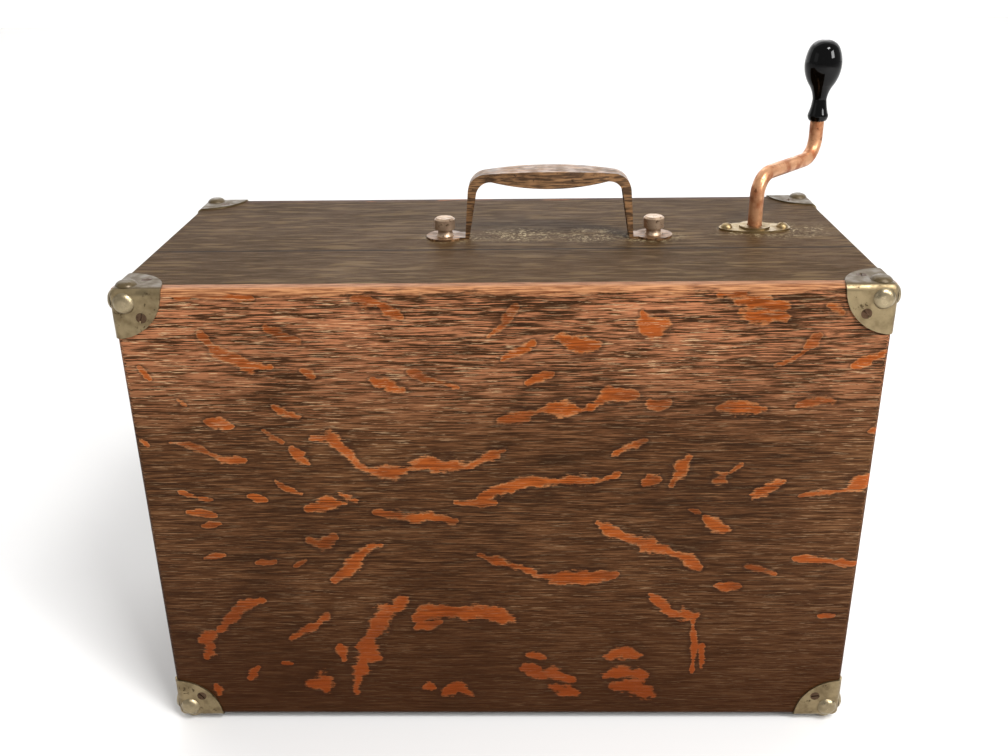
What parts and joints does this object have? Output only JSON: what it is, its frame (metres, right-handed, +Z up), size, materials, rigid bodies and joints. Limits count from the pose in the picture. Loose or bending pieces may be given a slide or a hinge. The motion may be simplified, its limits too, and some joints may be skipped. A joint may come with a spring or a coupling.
{
  "type": "portable phonograph",
  "caption": "Wind-up portable record player in a wooden suitcase with corner caps, carrying handle and a bent winding crank on top.",
  "frame": {"origin": "under the middle of the case, on the surface that its lower corner studs stand on", "axes": "+X to the right of the lid face, +Y from the lid to the back panel, +Z up to the carrying handle"},
  "size_m": [0.4205, 0.2004, 0.3928],
  "materials": {
    "stained_oak": "satin, stained",
    "deck_veneer": "satin, stained",
    "pine_strip": "sawn",
    "corner_brass": "aged, nickelled brass",
    "stud_brass": "polished by wear",
    "dark_screw": "oxidised",
    "hinge_steel": "brassed, worn",
    "coppered_steel": "copper plated, worn",
    "crank_steel": "copper plated, rusty",
    "black_lacquer": "high gloss lacquer",
    "plate_brass": "aged",
    "motor_steel": "milled",
    "motor_brass": "cut gear brass",
    "cast_frame": "black enamel",
    "spring_steel": "blued",
    "horn_enamel": "black enamel",
    "nickel": "nickel plated",
    "platter_steel": "nickelled",
    "green_felt": "wool felt",
    "mica": "mica sheet"
  },
  "bodies": {
    "case": {"back_panel": "stained_oak", "body_top_board": "stained_oak", "body_bottom_board": "stained_oak", "body_side_boards": "stained_oak", "motor_board": "deck_veneer", "board_cleats": "pine_strip", "body_corner_caps": "corner_brass", "body_corner_studs": "stud_brass", "body_corner_screws": "dark_screw", "body_hinge_leaves": "hinge_steel", "hinge_pins": "hinge_steel", "catch_plates": "hinge_steel", "handle": "coppered_steel", "handle_nuts": "dark_screw", "crank_escutcheon": "plate_brass", "escutcheon_screws": "plate_brass", "motor_upper_plate": "cast_frame", "motor_lower_plate": "cast_frame", "motor_pillars": "motor_steel", "motor_screws": "dark_screw", "horn": "horn_enamel", "arm_base": "nickel", "arm_rest": "nickel", "needle_cups": "nickel", "brake_post": "nickel"},
    "lid": {"lid_panel": "stained_oak", "lid_end_boards": "stained_oak", "lid_side_boards": "stained_oak", "lid_corner_caps": "corner_brass", "lid_corner_studs": "stud_brass", "lid_corner_screws": "dark_screw", "lid_hinge_leaves": "hinge_steel", "catch_studs": "hinge_steel"},
    "hook_lower": {"catch_hook_lower": "hinge_steel"},
    "hook_upper": {"catch_hook_upper": "hinge_steel"},
    "thumb_left": {"thumb_screw_left": "coppered_steel"},
    "thumb_right": {"thumb_screw_right": "coppered_steel"},
    "winding": {"winding_shaft": "motor_steel"},
    "crank": {"crank_rod": "crank_steel"},
    "knob": {"crank_knob": "black_lacquer"},
    "arbor": {"barrel_arbor": "motor_steel"},
    "barrel": {"spring_barrel": "motor_brass", "barrel_cover": "motor_steel", "mainspring": "spring_steel"},
    "intermediate": {"intermediate_arbor": "motor_steel"},
    "turntable": {"spindle": "motor_steel", "turntable_platter": "platter_steel", "turntable_felt": "green_felt"},
    "governor": {"governor_shaft": "motor_steel", "governor_disc": "motor_brass", "governor_springs": "spring_steel", "governor_weights": "motor_brass"},
    "tone_arm": {"tone_arm": "nickel"},
    "sound_box": {"gooseneck": "nickel", "sound_box": "nickel", "diaphragm": "mica", "stylus_bar": "nickel"},
    "needle_screw": {"needle_screw": "nickel"},
    "brake": {"brake_lever": "nickel"},
    "speed": {"speed_lever": "nickel"}
  },
  "joints": [
    {"name": "lid_hinge", "type": "hinge", "parent": "case", "child": "lid", "pos_m": [-0.2072, -0.027, 0.1455], "axis": [0, 0, -1], "range_deg": [0, 105]},
    {"name": "hook_lower_swing", "type": "hinge", "parent": "case", "child": "hook_lower", "pos_m": [0.206, -0.008, 0.08], "axis": [-1, 0, 0], "range_deg": [0, 90]},
    {"name": "hook_upper_swing", "type": "hinge", "parent": "case", "child": "hook_upper", "pos_m": [0.206, -0.008, 0.211], "axis": [-1, 0, 0], "range_deg": [0, 90]},
    {"name": "thumb_left_turn", "type": "hinge", "parent": "case", "child": "thumb_left", "pos_m": [-0.0356, 0, 0.2865], "axis": [0, 0, 1], "continuous": true},
    {"name": "thumb_right_turn", "type": "hinge", "parent": "case", "child": "thumb_right", "pos_m": [0.0902, 0, 0.2865], "axis": [0, 0, 1], "continuous": true},
    {"name": "winding_turn", "type": "hinge", "parent": "case", "child": "winding", "pos_m": [0.1538, 0.0134, 0.2465], "axis": [0, 0, 1], "continuous": true},
    {"name": "crank_draw", "type": "slide", "parent": "winding", "child": "crank", "axis": [0, 0, 1], "range_m": [0, 0.045]},
    {"name": "knob_turn", "type": "hinge", "parent": "crank", "child": "knob", "pos_m": [0.1985, 0.0604, 0.3435], "axis": [0, 0, 1], "continuous": true},
    {"name": "arbor_turn", "type": "hinge", "parent": "case", "child": "arbor", "pos_m": [0.1538, 0.0145, 0.1455], "axis": [0, -1, 0], "continuous": true},
    {"name": "barrel_turn", "type": "hinge", "parent": "case", "child": "barrel", "pos_m": [0.1538, 0.0545, 0.1455], "axis": [0, -1, 0], "continuous": true},
    {"name": "intermediate_turn", "type": "hinge", "parent": "case", "child": "intermediate", "pos_m": [0.10777, 0.0395, 0.13888], "axis": [0, -1, 0], "continuous": true},
    {"name": "turntable_turn", "type": "hinge", "parent": "case", "child": "turntable", "pos_m": [0.062, -0.0055, 0.1455], "axis": [0, -1, 0], "continuous": true},
    {"name": "governor_turn", "type": "hinge", "parent": "case", "child": "governor", "pos_m": [0.02575, 0.0565, 0.1455], "axis": [0, 0, 1], "continuous": true},
    {"name": "tone_arm_swing", "type": "hinge", "parent": "case", "child": "tone_arm", "pos_m": [-0.1, -0.0155, 0.0535], "axis": [0, 1, 0], "range_deg": [0, 52]},
    {"name": "sound_box_turn", "type": "hinge", "parent": "tone_arm", "child": "sound_box", "pos_m": [-0.11569, -0.0615, 0.23281], "axis": [-0.0872, 0, 0.9962], "range_deg": [0, 90]},
    {"name": "needle_screw_turn", "type": "hinge", "parent": "sound_box", "child": "needle_screw", "pos_m": [-0.09177, -0.0291, 0.25197], "axis": [-0.0872, 0, 0.9962], "continuous": true},
    {"name": "brake_swing", "type": "hinge", "parent": "case", "child": "brake", "pos_m": [0.12068, -0.0135, 0.25587], "axis": [0, -1, 0], "range_deg": [0, 14]},
    {"name": "speed_swing", "type": "hinge", "parent": "case", "child": "speed", "pos_m": [-0.005, -0.0055, 0.246], "axis": [0, -1, 0], "range_deg": [-6, 6]}
  ],
  "couplings": [
    {"joint": "arbor_turn", "follows": "winding_turn", "ratio": 0.58333},
    {"joint": "intermediate_turn", "follows": "turntable_turn", "ratio": -0.19355},
    {"joint": "barrel_turn", "follows": "turntable_turn", "ratio": 0.037221},
    {"joint": "governor_turn", "follows": "turntable_turn", "ratio": 10}
  ]
}
